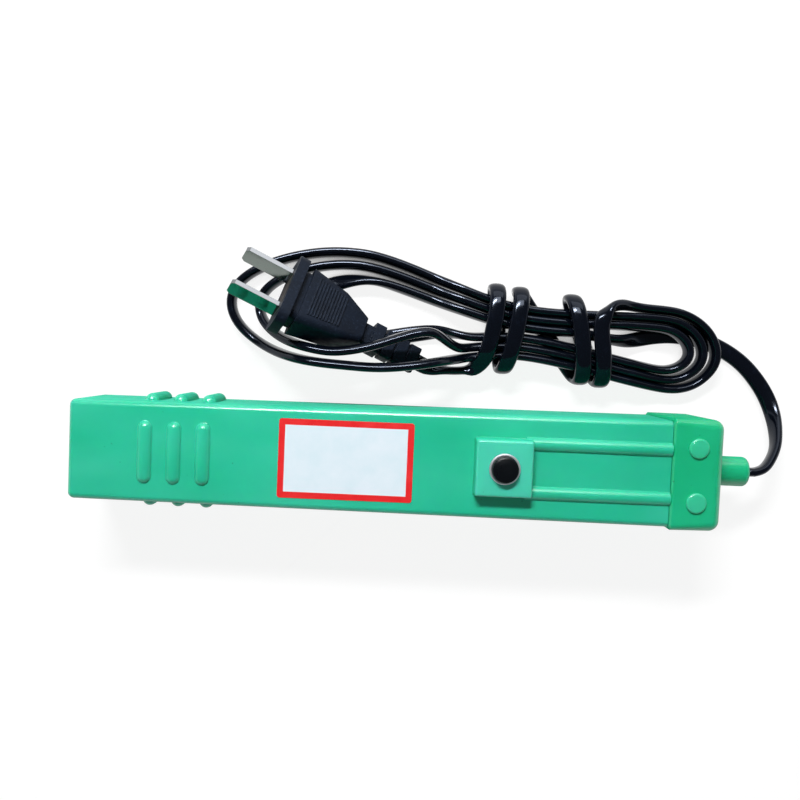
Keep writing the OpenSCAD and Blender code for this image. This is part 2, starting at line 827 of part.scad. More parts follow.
module switch_terminals() {
    color("goldenrod")
        at_terminals() {
            translate([-terminal_w / 2, -terminal_w / 2, switch_base_z])
                cube([terminal_w, terminal_w, terminal_t]);
            translate([-terminal_t / 2, -terminal_w / 2, tag_z])
                cube([terminal_t, terminal_w, switch_base_z - tag_z + terminal_t / 2]);
        }
}

module core_laminations() {
    color("slategray")
        for (i = [0:core_strips - 1])
            translate([core_x, -core_w / 2, axis_z - core_w / 2 + i * strip_t])
                cube([core_l, core_w, strip_t - seat]);
}

// Former with a flange at each end
module bobbin() {
    color("wheat")
        difference() {
            union() {
                across(bobbin_x, bobbin_l)
                    square(former_w, center = true);
                for (x = [bobbin_x, bobbin_end_x - flange_t])
                    across(x, flange_t)
                        square(2 * (cavity_at(x) - fit), center = true);
            }
            across(bobbin_x - 1, bobbin_l + 2)
                square(bore_w, center = true);
        }
}

// Layer round the former, between the flanges, outside the outline given
module layer(w, r) {
    across(bobbin_x + flange_t + seat, bobbin_l - 2 * flange_t - 2 * seat)
        difference() {
            rounded_rect(w, w, r);
            children();
        }
}

module coil_winding() {
    color("peru")
        layer(winding_w, winding_r)
            square(former_w + 2 * seat, center = true);
}

module coil_tape() {
    inner_w = winding_w + 2 * seat;
    color("khaki")
        layer(inner_w + 2 * tape_t, winding_r + tape_t)
            rounded_rect(inner_w, inner_w, winding_r);
}

// Frame pressed into the case behind the coil
module coil_retainer() {
    color("wheat")
        across(retainer_x, retainer_t)
            difference() {
                square(2 * (cavity_at(retainer_x) - seat), center = true);
                square(window_w, center = true);
            }
}

module wire_live() {
    color("brown")
        wire(live_route);
}

module wire_switched() {
    color("black")
        wire(switched_route);
}

module wire_neutral() {
    color("lightblue")
        wire(neutral_route);
}

// Sleeves over the joints to the coil
module splice_sleeves() {
    color("ivory")
        for (side = [-1, 1])
            across(bobbin_end_x + seat, sleeve_l)
                translate([side * sleeve_y, 0])
                    difference() {
                        circle(sleeve_d / 2);
                        circle(wire_d / 2 + seat);
                    }
}

module cord_inner() {
    color("dimgray")
        across(inner_x, exit_x - inner_x)
            rotate([0, 0, 90])
                polygon(cord_outline);
}

// Collar that keeps the cord from being pulled out
module cord_stop() {
    color("dimgray")
        across(stop_x - stop_l, stop_l)
            difference() {
                circle(stop_d / 2);
                square([cord_t + 2 * seat, cord_w + 2 * seat], center = true);
            }
}

module cord_piece(from, to) {
    color("black")
        sweep(cord_path, cord_sides, cord_outline, from, to);
}

module cord_lead() {
    cord_piece(0, loops_from);
}

module cord_loops() {
    echo(least_gap_in_loops = least_gap(loops_from, loops_to, 9));
    cord_piece(loops_from, loops_to);
}

module cord_wraps() {
    echo(least_gap_in_wraps = least_gap(loops_to, wraps_to, 15));
    cord_piece(loops_to, wraps_to);
}

module cord_tail() {
    cord_piece(wraps_to, cord_last);
}

// Place of the plug, from the end of its strain relief to its face
module plug_place() {
    translate(plug_at)
        rotate([plug_roll, -plug_pitch, plug_yaw])
            children();
}

module plug_plate(x, t) {
    translate([x, 0, 0])
        rotate([90, 0, 90])
            linear_extrude(t)
                children();
}

// Width or height of the shell between its waist and its flange
function shell_at(x, from, to) =
    from + (to - from) * (x - plug_waist_x) / (shell_x - groove_l - plug_waist_x);

// Segments of the strain relief, which twists with the cord
module relief() {
    pitch = relief_l / relief_parts;
    for (i = [0:relief_parts - 1])
        rotate([relief_twist * (1 - i / relief_parts), 0, 0])
            plug_plate(i * pitch, relief_part_l)
                rounded_rect(relief_end_w + i * relief_step, relief_end_h + i * relief_step, 1);
    rotate([relief_twist / 2, 0, 0])
        plug_plate(1, shoulder_x)
            rounded_rect(relief_end_w - 1.4, relief_end_h - 1.2, 1);
}

module plug_shell() {
    hull() {
        plug_plate(shoulder_x, 0.1)
            rounded_rect(neck_w, neck_h, 2);
        plug_plate(plug_waist_x, 0.1)
            rounded_rect(plug_waist_w, plug_waist_h, shell_r);
        plug_plate(shell_x - groove_l, 0.1)
            rounded_rect(shell_w, shell_h, shell_r);
    }
    plug_plate(shell_x - groove_l, groove_l)
        rounded_rect(shell_w - 2 * groove_d, shell_h - 2 * groove_d, shell_r);
    plug_plate(shell_x, plug_flange_t)
        rounded_rect(plug_flange_w, plug_flange_h, 4);
}

// Fine ribs on the two broad sides, for the fingers
module finger_ribs() {
    for (side = [-1, 1], i = [0:panel_ribs - 1]) {
        x = panel_x + i * panel_pitch;
        l = shell_at(x, plug_waist_w, shell_w) - 2 * panel_margin;
        translate([x, 0, side * shell_at(x, plug_waist_h, shell_h) / 2])
            rotate([90, 0, 0])
                cylinder(l, panel_rib_d / 2, panel_rib_d / 2, center = true, $fn = 16);
    }
}

module plug_body() {
    color("darkslategray")
        plug_place()
            difference() {
                union() {
                    relief();
                    plug_shell();
                    finger_ribs();
                }
                plug_plate(insert_x - seat, plug_l)
                    square([insert_w + 2 * seat, insert_h + 2 * seat], center = true);
            }
}

module at_blades() {
    for (side = [-1, 1])
        translate([0, side * blade_gap / 2, 0])
            children();
}

// Rigid bridge that holds the blades in the plug
module plug_insert() {
    color("dimgray")
        plug_place()
            difference() {
                plug_plate(insert_x, plug_l - insert_x)
                    square([insert_w, insert_h], center = true);
                at_blades()
                    plug_plate(blade_root - seat, plug_l)
                        square([blade_t + 2 * seat, blade_w + 2 * seat], center = true);
            }
}

module plug_blades() {
    tip = plug_l + blade_l;
    h = blade_w / 2;
    color("silver")
        plug_place()
            at_blades()
                translate([0, blade_t / 2, 0])
                    rotate([90, 0, 0])
                        linear_extrude(blade_t)
                            polygon([
                                [blade_root, -h], [tip - blade_chamfer, -h], [tip, blade_chamfer - h],
                                [tip, h - blade_chamfer], [tip - blade_chamfer, h], [blade_root, h]
                            ]);
}

case_tube();
end_cap();
cap_rivets();
label();
switch_bezel();
button();
contact_bridge();
return_spring();
switch_body();
switch_base();
switch_terminals();
core_laminations();
bobbin();
coil_winding();
coil_tape();
coil_retainer();
wire_live();
wire_switched();
wire_neutral();
splice_sleeves();
cord_inner();
cord_stop();
cord_lead();
cord_loops();
cord_wraps();
cord_tail();
plug_body();
plug_insert();
plug_blades();
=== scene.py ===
import math

import bpy
from mathutils import Matrix, Vector


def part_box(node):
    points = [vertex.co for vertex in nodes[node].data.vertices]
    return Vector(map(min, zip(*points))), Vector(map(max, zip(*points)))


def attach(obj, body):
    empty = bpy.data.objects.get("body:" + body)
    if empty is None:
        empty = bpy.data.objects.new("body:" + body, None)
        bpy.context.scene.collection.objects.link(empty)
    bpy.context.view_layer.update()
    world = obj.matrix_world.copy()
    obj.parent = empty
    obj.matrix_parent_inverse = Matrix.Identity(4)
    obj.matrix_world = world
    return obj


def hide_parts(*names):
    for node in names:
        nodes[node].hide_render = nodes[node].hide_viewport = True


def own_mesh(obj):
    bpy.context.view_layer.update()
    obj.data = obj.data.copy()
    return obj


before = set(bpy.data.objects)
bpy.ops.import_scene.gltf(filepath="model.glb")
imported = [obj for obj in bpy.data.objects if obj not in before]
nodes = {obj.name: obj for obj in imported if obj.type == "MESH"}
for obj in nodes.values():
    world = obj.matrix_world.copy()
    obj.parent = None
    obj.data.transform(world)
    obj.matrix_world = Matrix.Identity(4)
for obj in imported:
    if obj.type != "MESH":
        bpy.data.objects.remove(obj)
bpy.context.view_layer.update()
scene = bpy.context.scene
MM = 0.001

# Camera, nearly straight above the bar, in millimetres, with its focal length in picture points
PICTURE = 800
FOCAL = 891
SENSOR = 36
CLIP_START = 0.01
CAMERA_AT = (-6.1, 31.1, 287)
CAMERA_ROLL = math.radians(2.45)
CAMERA_TILT = math.radians(2.9)


def add_camera():
    right = Vector((math.cos(CAMERA_ROLL), math.sin(CAMERA_ROLL), 0))
    level = Vector((-math.sin(CAMERA_ROLL), math.cos(CAMERA_ROLL), 0))
    down = Vector((0, 0, -1))
    ahead = down * math.cos(CAMERA_TILT) - level * math.sin(CAMERA_TILT)
    up = level * math.cos(CAMERA_TILT) + down * math.sin(CAMERA_TILT)
    data = bpy.data.cameras.new("camera")
    data.sensor_width = SENSOR
    data.lens = SENSOR * FOCAL / PICTURE
    data.clip_start = CLIP_START
    camera = bpy.data.objects.new("camera", data)
    scene.collection.objects.link(camera)
    turn = Matrix((right, up, -ahead)).transposed().to_4x4()
    camera.matrix_world = Matrix.Translation(Vector(CAMERA_AT) * MM) @ turn
    scene.camera = camera


# Cord section and where the cord leaves the case, in millimetres
CORD_W, CORD_T = 4.8, 2.4
CORD_FULL = 0.16
SECTION_STEPS, SECTION_POWER = 28, 2.5
EXIT_X, AXIS_Z, INNER_X = 101, 16.2, 77.5
LEAD_IN_STEPS = 25

# Loops of the hank: their ends, widths and spacing, counted from the outer loop inwards
HANK_TURNS = 3
RIGHT_END, RIGHT_STEP = 93.4, 4.2
LEFT_END, LEFT_STEP, LEFT_GROWTH = -60.4, 6, 3
RIGHT_ROUND, RIGHT_ROUND_STEP = 15, 3
LEFT_ROUND, LEFT_ROUND_STEP = 37, 6.5
WAIST_X, WAIST_HALF = 34, 8.7
LEFT_LOBE_X, LEFT_HALF = -20, 19.6
RIGHT_LOBE_X, RIGHT_HALF = 80, 12.2
RUN_GAP = 0.45
RUN_PITCH = CORD_T + RUN_GAP
UPPER_SPREAD, LOWER_SPREAD = 1.05, 0.6
SPREAD_FROM_X, SPREAD_OVER = 34, 45
HANK_Y, HANK_SLOPE, HANK_DROOP = 43.7, -0.1, 3.6
DROOP_FROM_X, DROOP_OVER = -16, 44
LOOP_START, LOOP_END, LOOP_STEP = 64, HANK_TURNS * 360 + 46, 2.5

# How the loops lie: on edge, with the inner one flat at its left end
# A stretch here is a start, the length of its rise, an end and the length of its fall
LEAN, FLAT_LEAN = 10, -85
FLAT_TURN = (122, 40, 266, 22)
CORD_REST = 0.15

# Where the loops lift over the wraps, the lead and the strain relief, and where two shift aside
UNDER_GAP = 0.7
UNDER_LIFT = CORD_T + UNDER_GAP
WRAPPED_X = (3, 11, 78, 12)
LEAD_FROM_X, LEAD_FROM_Y, LEAD_OVER = 60, 27, 8
RELIEF_LIFT, RELIEF_X = 15, (-54, 22, 20, 19)
RELIEF_TOP_Y, RELIEF_OVER, RELIEF_TURN = 44, 5, 1.9
MIDDLE_TURN, MIDDLE_RISE, MIDDLE_X = 0.7, 6.5, (-30, 32, 13.5, 12)
INNER_TURN, INNER_RISE, INNER_RISE_X = 1.7, 3, (-30, 30, 18, 14)

# Wraps: where their half turns start along the hank, their width and height, and how full they are
WRAP_X = (53.1, 56.9, 46.9, 50.7, 30.6, 26.2, 23.2, 19.6)
WRAP_START, WRAP_END, WRAP_STEP = 70, (len(WRAP_X) - 1) * 180 - 16, 4
WRAP_HALF, WRAP_SHIFT, WRAP_BOW, WRAP_TOP = 12.9, -0.6, 1.1, 6.4
WRAP_MID_Z = UNDER_LIFT + CORD_W / 2 + CORD_REST
WRAP_BOTTOM = WRAP_MID_Z - CORD_T / 2 - CORD_REST
WRAP_TOP_POWER, WRAP_LOW_POWER = 2.4, 5

# Where the tail enters the plug
PLUG_AT = Vector((-1.4, 29.4, 6))
PLUG_YAW, PLUG_PITCH = math.radians(155), math.radians(14)
END_ROLL = math.radians(9)

# Steps along the cord, and the passes that take out its kinks, with more of them near the plug
FINE_STEP, CORD_STEP = 0.25, 1.0
POINT_PASSES, SIDE_PASSES, ENDS_KEPT = 6, 12, 3
TAIL_POINTS, TAIL_POINT_PASSES = 46, 40
TAIL_SIDES, TAIL_SIDE_PASSES = 60, 60
TAIL_ENDS_KEPT = 5


def ease(t):
    c = min(1, max(0, t))
    return c * c * (3 - 2 * c)


def within(x, start, rise, end, fall):
    """Goes up to 1 over a length after the start, and down to 0 over a length before the end."""
    return ease((x - start) / rise) * ease((end - x) / fall)


def right_x(k):
    return RIGHT_END - RIGHT_STEP * k


def left_x(k):
    j = k - 0.5
    return LEFT_END + LEFT_STEP * j + LEFT_GROWTH * j * j


def lobe_half(x):
    if x < WAIST_X:
        return WAIST_HALF + (LEFT_HALF - WAIST_HALF) * ease((WAIST_X - x) / (WAIST_X - LEFT_LOBE_X))
    return WAIST_HALF + (RIGHT_HALF - WAIST_HALF) * ease((x - WAIST_X) / (RIGHT_LOBE_X - WAIST_X))


def pitch_at(x, side):
    spread = UPPER_SPREAD if side > 0 else LOWER_SPREAD
    return RUN_PITCH + spread * ease((SPREAD_FROM_X - x) / SPREAD_OVER)


def round_end(d, r):
    return 1 if d >= r else math.sqrt(max(0, 1 - (1 - d / r) ** 2))


def hank_mid(x):
    return HANK_Y + HANK_SLOPE * x - HANK_DROOP * ease((DROOP_FROM_X - x) / DROOP_OVER)


def rise_at(x, k):
    """Shift of the inner loops where one passes under the strain relief and the other over it."""
    if k < MIDDLE_TURN:
        return 0
    if k < INNER_TURN:
        return MIDDLE_RISE * within(x, *MIDDLE_X)
    return INNER_RISE * within(x, *INNER_RISE_X)


def lift_at(x, y, k):
    """Height of the loops over what lies under them."""
    over_wraps = UNDER_LIFT * within(x, *WRAPPED_X)
    past_lead = ease((x - LEAD_FROM_X) / LEAD_OVER) * ease((y - LEAD_FROM_Y) / LEAD_OVER)
    over_relief = 0
    if k <= RELIEF_TURN and y <= RELIEF_TOP_Y:
        over_relief = RELIEF_LIFT * within(x, *RELIEF_X) * ease((RELIEF_TOP_Y - y) / RELIEF_OVER)
    return max(over_wraps, UNDER_LIFT * past_lead, over_relief)


def loop_lean(a):
    return math.radians(LEAN + (FLAT_LEAN - LEAN) * within(a, *FLAT_TURN))


def loop_point(a):
    k = HANK_TURNS - a / 360
    right, left = right_x(k), left_x(k)
    x = (right + left) / 2 + (right - left) / 2 * math.cos(math.radians(a))
    right_round = RIGHT_ROUND - RIGHT_ROUND_STEP * k
    left_round = LEFT_ROUND - LEFT_ROUND_STEP * (k - 0.5)
    s = round_end(right - x, right_round) * round_end(x - left, left_round)
    side = 1 if math.sin(math.radians(a)) >= 0 else -1
    rise = 0 if side > 0 else rise_at(x, k)
    y = hank_mid(x) + s * (side * (lobe_half(x) - k * pitch_at(x, side)) + rise)
    stand = (CORD_W - CORD_T) / 2 * math.cos(loop_lean(a)) + CORD_T / 2
    return Vector((x, y, stand + CORD_REST + lift_at(x, y, k)))


def loop_wide(a):
    ahead = (loop_point(a + 1) - loop_point(a - 1)).normalized()
    out = Vector((ahead.y, -ahead.x, 0)).normalized() * math.sin(loop_lean(a))
    return Vector((out.x, out.y, math.cos(loop_lean(a))))


def wrap_point(a):
    i = min(len(WRAP_X) - 2, int(a // 180))
    f = (1 - math.cos(math.radians(a - 180 * i))) / 2
    x = WRAP_X[i] + (WRAP_X[i + 1] - WRAP_X[i]) * f
    c = math.cos(math.radians(a))
    up = math.sin(math.radians(a)) >= 0
    power = WRAP_TOP_POWER if up else WRAP_LOW_POWER
    rise = max(0, 1 - abs(c) ** power) ** (1 / power)
    z = WRAP_MID_Z + (WRAP_TOP if up else -WRAP_BOTTOM) * rise
    bow = WRAP_BOW * max(0, math.sin(math.radians(a)))
    return Vector((x + bow, hank_mid(x) + WRAP_SHIFT + WRAP_HALF * c, z))


def steps(start, end, step):
    count = round((end - start) / step)
    return [start + (end - start) * i / count for i in range(count + 1)]


def cord_route():
    """Points of the cord from the spigot to the plug, each with the direction of its wide side."""
    ahead = Vector((
        math.cos(PLUG_PITCH) * math.cos(PLUG_YAW),
        math.cos(PLUG_PITCH) * math.sin(PLUG_YAW),
        math.sin(PLUG_PITCH),
    ))
    across = Vector((-math.sin(PLUG_YAW), math.cos(PLUG_YAW), 0))
    end_wide = across * math.cos(END_ROLL) + ahead.cross(across) * math.sin(END_ROLL)
    lead = [
        ((EXIT_X, 0, AXIS_Z), (0, 0, 1)),
        ((104, 0, 16.2), (0, 0, 1)),
        ((106.8, 0.9, 15.2), (0, 0.1, 1)),
        ((109.4, 3.6, 13.4), (0, 0.2, 1)),
        ((111.8, 7.4, 10.8), (0.1, 0.4, 1)),
        ((112.9, 12, 7.6), (0.3, 0.4, 0.9)),
        ((113, 16.6, 4.8), (0.5, 0.2, 0.7)),
        ((111.4, 22.4, 2.8), (0.9, 0.3, 0.4)),
        ((107.8, 28.2, 1.8), (0.8, 0.6, 0.1)),
        ((102.8, 33.4, 1.4), (0.7, 0.8, 0)),
        ((96, 37.6, 1.3), (0.5, 1, 0)),
        ((89, 40, 1.3), (0.3, 1, 0)),
        ((81, 41, 1.3), (0, 1, 0)),
        ((74, 40.4, 1.5), (-0.1, 1, 0.1)),
        ((68, 39, 2.8), (-0.1, 1, 0.6)),
        ((61.5, 38.6, 5), (0, 0.4, 1)),
    ]
    loops = [(loop_point(a), loop_wide(a)) for a in steps(LOOP_START, LOOP_END, LOOP_STEP)]
    fold = [
        ((65.5, 49.4, 6.2), (0, 0.2, 1)),
        ((61.5, 49.5, 8.7), (0.1, 0.4, 0.9)),
        ((57.8, 48.2, 11.2), (0.6, 0.6, 0.5)),
        ((55.8, 45, 12.3), (1, 0.3, 0.1)),
    ]
    wraps = [(wrap_point(a), (1, 0, 0)) for a in steps(WRAP_START, WRAP_END, WRAP_STEP)]
    tail = [
        ((18, 27.6, 5.6), (1, 0, 0.6)),
        ((15, 26.6, 3.6), (0.4, 0, 1)),
        ((11, 26.4, 2.75), (0.1, 0.1, 1)),
        ((7, 26.8, 3.4), (0.1, 0.6, 0.8)),
        (PLUG_AT - CORD_W * ahead, end_wide),
        (PLUG_AT, end_wide),
    ]
    return [(Vector(p), Vector(w).normalized()) for p, w in lead + loops + fold + wraps + tail]


def spline(four, f):
    """Point on a smooth curve through four points, between the two middle ones."""
    a, b, c, d = four
    slope, bend, turn = c - a, 2 * a - 5 * b + 4 * c - d, 3 * b - a - 3 * c + d
    return 0.5 * (2 * b + slope * f + bend * f * f + turn * f ** 3)


def even_route(route, step):
    """The route as a smooth curve with points a step apart."""
    fine = []
    last = len(route) - 1
    for i in range(last):
        four = [route[min(max(j, 0), last)][0] for j in range(i - 1, i + 3)]
        parts = max(1, round((four[2] - four[1]).length / FINE_STEP))
        for n in range(parts):
            f = n / parts
            fine.append((spline(four, f), route[i][1].lerp(route[i + 1][1], f)))
    fine.append(route[last])
    gone = [0.0]
    for a, b in zip(fine, fine[1:]):
        gone.append(gone[-1] + (b[0] - a[0]).length)
    count = round(gone[-1] / step)
    points, sides, j = [], [], 0
    for i in range(count + 1):
        want = gone[-1] * i / count
        while j < len(fine) - 2 and gone[j + 1] < want:
            j += 1
        f = (want - gone[j]) / max(1e-9, gone[j + 1] - gone[j])
        points.append(fine[j][0].lerp(fine[j + 1][0], f))
        sides.append(fine[j][1].lerp(fine[j + 1][1], f))
    return points, sides


def relax(values, passes, keep):
    """Takes small kinks out of a row of vectors, leaving the first and last few as they are."""
    for _ in range(passes):
        middle = range(keep, len(values) - keep)
        inner = [(values[i - 1] + 2 * values[i] + values[i + 1]) / 4 for i in middle]
        values = values[:keep] + inner + values[-keep:]
    return values


def flat_outline(w, t):
    """Outline of a flat cord: an oval with full shoulders."""
    def part(v):
        return math.copysign(abs(v) ** (2 / SECTION_POWER), v)
    turn = [2 * math.pi * (i + 0.5) / SECTION_STEPS for i in range(SECTION_STEPS)]
    return [(w / 2 * part(math.cos(a)), t / 2 * part(math.sin(a))) for a in turn]


def tube(name, points, sides, outline):
    """Mesh tube along points in millimetres, kept above the floor."""
    n = len(outline)
    verts, faces = [], []
    for i, p in enumerate(points):
        along = (points[min(i + 1, len(points) - 1)] - points[max(i - 1, 0)]).normalized()
        wide = (sides[i] - along * sides[i].dot(along)).normalized()
        thick = along.cross(wide)
        ring = [p + wide * x + thick * y for x, y in outline]
        verts += [Vector((v.x, v.y, max(0, v.z))) * MM for v in ring]
    for i in range(len(points) - 1):
        for j in range(n):
            a, b = n * i + j, n * i + (j + 1) % n
            faces.append((a, b, b + n, a + n))
    faces.append(tuple(reversed(range(n))))
    faces.append(tuple(n * (len(points) - 1) + j for j in range(n)))
    mesh = bpy.data.meshes.new(name)
    mesh.from_pydata(verts, [], faces)
    mesh.validate()
    mesh.shade_smooth()
    for face in mesh.polygons[-2:]:
        face.use_smooth = False
    piece = bpy.data.objects.new(name, mesh)
    scene.collection.objects.link(piece)
    return piece


def relax_tail(values, count, passes):
    return values[:-count] + relax(values[-count:], passes, TAIL_ENDS_KEPT)


def add_cord():
    points, sides = even_route(cord_route(), CORD_STEP)
    points = relax(points, POINT_PASSES, ENDS_KEPT)
    points = relax_tail(points, TAIL_POINTS, TAIL_POINT_PASSES)
    sides = relax(sides, SIDE_PASSES, ENDS_KEPT)
    sides = relax_tail(sides, TAIL_SIDES, TAIL_SIDE_PASSES)
    outline = flat_outline(CORD_W + 2 * CORD_FULL, CORD_T + 2 * CORD_FULL)
    cord = tube("cord", points, sides, outline)
    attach(cord, "bar")
    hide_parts("cord_lead", "cord_loops", "cord_wraps", "cord_tail")
    run = (EXIT_X - INNER_X) / LEAD_IN_STEPS
    inside = [Vector((INNER_X + run * i, 0, AXIS_Z)) for i in range(LEAD_IN_STEPS + 1)]
    lead_in = tube("lead_in", inside, [Vector((0, 0, 1))] * len(inside), outline)
    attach(lead_in, "bar")
    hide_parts("cord_inner")
    return cord, lead_in


# Return spring, built to the size of its part, in millimetres
SPRING_WIRE, SPRING_GAP, SPRING_TURNS = 0.4, 0.1, 4
SPRING_STEPS, WIRE_SIDES = 32, 12


def add_spring():
    low, high = (Vector(corner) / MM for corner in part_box("return_spring"))
    middle = (low + high) / 2
    radius = (high.x - low.x - SPRING_WIRE) / 2
    closed = SPRING_WIRE + SPRING_GAP
    free = high.z - low.z - SPRING_WIRE - 2 * closed
    points, sides = [], []
    for t in steps(0, SPRING_TURNS + 2, 1 / SPRING_STEPS):
        out = Vector((math.cos(2 * math.pi * t), math.sin(2 * math.pi * t), 0))
        ends = closed * (min(1, t) + max(0, t - SPRING_TURNS - 1))
        z = low.z + SPRING_WIRE / 2 + ends + free * min(1, max(0, (t - 1) / SPRING_TURNS))
        points.append(Vector((middle.x, middle.y, z)) + radius * out)
        sides.append(out)
    ring = [2 * math.pi * i / WIRE_SIDES for i in range(WIRE_SIDES)]
    wire = [(SPRING_WIRE / 2 * math.cos(a), SPRING_WIRE / 2 * math.sin(a)) for a in ring]
    spring = tube("spring", points, sides, wire)
    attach(spring, "bar")
    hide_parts("return_spring")
    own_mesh(spring)
    return spring


# Materials: lengths are in metres, and noise scales are waves to a metre
NOISE_MIDDLE = (0.3, 0.7)
EDGE_SAMPLES = 4
RANGE_SOCKETS = ("From Min", "From Max", "To Min", "To Max")


def set_range(node, source, target):
    for socket, number in zip(RANGE_SOCKETS, (*source, *target)):
        node.inputs[socket].default_value = number


class Paint:
    """One material and the nodes that vary it."""

    def __init__(self, name, **values):
        self.material = bpy.data.materials.new(name)
        self.material.use_nodes = True
        self.nodes = self.material.node_tree.nodes
        self.shader = self.nodes["Principled BSDF"]
        for socket, value in values.items():
            self.set(socket.replace("_", " "), value)

    def add(self, kind, **settings):
        node = self.nodes.new(kind)
        for name, value in settings.items():
            setattr(node, name, value)
        return node

    def put(self, socket, value):
        """Gives a socket a number, a colour or the output of another node."""
        if isinstance(value, (int, float)):
            socket.default_value = value
        elif isinstance(value, tuple):
            socket.default_value = (*value, 1)
        else:
            self.material.node_tree.links.new(value, socket)

    def set(self, socket, value):
        self.put(self.shader.inputs[socket], value)

    def place(self):
        """Places on the object, which stay with it."""
        return self.add("ShaderNodeTexCoord").outputs["Object"]

    def part(self, vector, axis):
        split = self.add("ShaderNodeSeparateXYZ")
        self.put(split.inputs[0], vector)
        return split.outputs[axis]

    def facing_up(self):
        """How far a face looks up: 1 on top, 0 on the sides."""
        return self.part(self.add("ShaderNodeTexCoord").outputs["Normal"], "Z")

    def noise(self, scale, detail, rough, stretch=None):
        node = self.add("ShaderNodeTexNoise")
        self.put(node.inputs["Scale"], scale)
        self.put(node.inputs["Detail"], detail)
        self.put(node.inputs["Roughness"], rough)
        place = self.place()
        if stretch:
            mapping = self.add("ShaderNodeMapping")
            mapping.inputs["Scale"].default_value = stretch
            self.put(mapping.inputs["Vector"], place)
            place = mapping.outputs["Vector"]
        self.put(node.inputs["Vector"], place)
        return node.outputs["Fac"]

    def remap(self, value, source, target):
        node = self.add("ShaderNodeMapRange")
        set_range(node, source, target)
        self.put(node.inputs["Value"], value)
        return node.outputs["Result"]

    def vary(self, noise, low, high):
        """A noise as values that go from low to high."""
        return self.remap(noise, NOISE_MIDDLE, (low, high))

    def maths(self, operation, *values):
        node = self.add("ShaderNodeMath", operation=operation)
        for socket, value in zip(node.inputs, values):
            self.put(socket, value)
        return node.outputs[0]

    def mix(self, fac, a, b):
        node = self.add("ShaderNodeMix", data_type="RGBA")
        for socket, value in ((0, fac), (6, a), (7, b)):
            self.put(node.inputs[socket], value)
        return node.outputs[2]

    def bump(self, height, distance, strength, normal=None):
        node = self.add("ShaderNodeBump")
        self.put(node.inputs["Strength"], strength)
        self.put(node.inputs["Distance"], distance)
        self.put(node.inputs["Height"], height)
        if normal:
            self.put(node.inputs["Normal"], normal)
        return node.outputs["Normal"]

    def soft_edges(self, radius):
        node = self.add("ShaderNodeBevel", samples=EDGE_SAMPLES)
        self.put(node.inputs["Radius"], radius)
        return node.outputs["Normal"]


def rgb(r, g, b):
    """Linear colour from 0 to 255 display values."""
    def linear(v):
        v /= 255
        return v / 12.92 if v <= 0.04045 else ((v + 0.055) / 1.055) ** 2.4
    return linear(r), linear(g), linear(b)


def scaled(colour, share):
    return tuple(share * v for v in colour)


# Case plastic: paler at the top of the button block, glossy on top and dull on upright walls
PALE_TOP_Z, PALE_TOP_SHARE = (0.0335, 0.0352), 0.6
UPRIGHT_TO_LEVEL = (0.25, 0.6)
WALL_DULLNESS = 0.42
WALL_SPECULAR, TOP_SPECULAR = 0.06, 0.62


def moulded_green(name, main, deep, pale):
    """Waxy moulded plastic with cloudy colour, faint flow marks, specks, paler above a height."""
    paint = Paint(name, Subsurface_Weight=0.25, Subsurface_Scale=0.0015)
    paint.shader.inputs["Subsurface Radius"].default_value = (0.2, 1.0, 0.45)
    cloud = paint.vary(paint.noise(26, detail=3, rough=0.55), 0, 1)
    streaks = paint.noise(60, detail=2, rough=0.5, stretch=(0.35, 1, 1))
    flow = paint.remap(streaks, (0.35, 0.75), (0, 0.35))
    # Paler colour above a set height, on the top of the button block
    pale_top = paint.remap(paint.part(paint.place(), "Z"), PALE_TOP_Z, (0, PALE_TOP_SHARE))
    speck = paint.remap(paint.noise(700, detail=1, rough=0.5), (0.77, 0.81), (0, 0.4))
    colour = paint.mix(cloud, main, deep)
    colour = paint.mix(flow, colour, pale)
    colour = paint.mix(pale_top, colour, pale)
    paint.set("Base Color", paint.mix(speck, colour, scaled(main, 0.25)))
    facing = paint.facing_up()
    gloss = paint.vary(paint.noise(140, detail=3, rough=0.6), 0.18, 0.26)
    dull = paint.remap(facing, UPRIGHT_TO_LEVEL, (WALL_DULLNESS, 0))
    paint.set("Roughness", paint.maths("ADD", gloss, dull))
    specular = paint.remap(facing, UPRIGHT_TO_LEVEL, (WALL_SPECULAR, TOP_SPECULAR))
    paint.set("Specular IOR Level", specular)
    waves = paint.noise(90, detail=2, rough=0.5, stretch=(0.5, 1, 1))
    ripple = paint.bump(waves, distance=0.0001, strength=0.35, normal=paint.soft_edges(0.0004))
    skin = paint.noise(900, detail=2, rough=0.6)
    paint.set("Normal", paint.bump(skin, distance=0.000006, strength=0.3, normal=ripple))
    return paint.material


# Label: its middle and half sizes, the width of its border and the softness of the print
LABEL_MIDDLE = {"X": -0.0205, "Y": 0}
LABEL_HALF = {"X": 0.0195, "Y": 0.0115}
LABEL_BORDER, PRINT_BLUR = 0.0018, 0.00004


def label_paper():
    """Pale gloss label with a printed red border, slightly faded and scuffed."""
    paint = Paint("label_paper", Specular_IOR_Level=0.4)
    place = paint.place()
    sides = []
    for axis, middle in LABEL_MIDDLE.items():
        away = paint.maths("ABSOLUTE", paint.maths("SUBTRACT", paint.part(place, axis), middle))
        half = LABEL_HALF[axis] - LABEL_BORDER
        sides.append(paint.remap(away, (half - PRINT_BLUR, half + PRINT_BLUR), (1, 0)))
    inside = paint.maths("MINIMUM", *sides)
    fade = paint.vary(paint.noise(150, detail=3, rough=0.6), 0, 1)
    red = paint.mix(fade, rgb(222, 22, 28), rgb(232, 48, 48))
    pale = paint.mix(fade, rgb(222, 234, 242), rgb(212, 230, 238))
    paint.set("Base Color", paint.mix(inside, red, pale))
    paint.set("Roughness", paint.vary(paint.noise(60, detail=2, rough=0.5), 0.34, 0.42))
    skin = paint.noise(40, detail=1, rough=0.5)
    paint.set("Normal", paint.bump(skin, distance=0.00004, strength=0.3))
    return paint.material


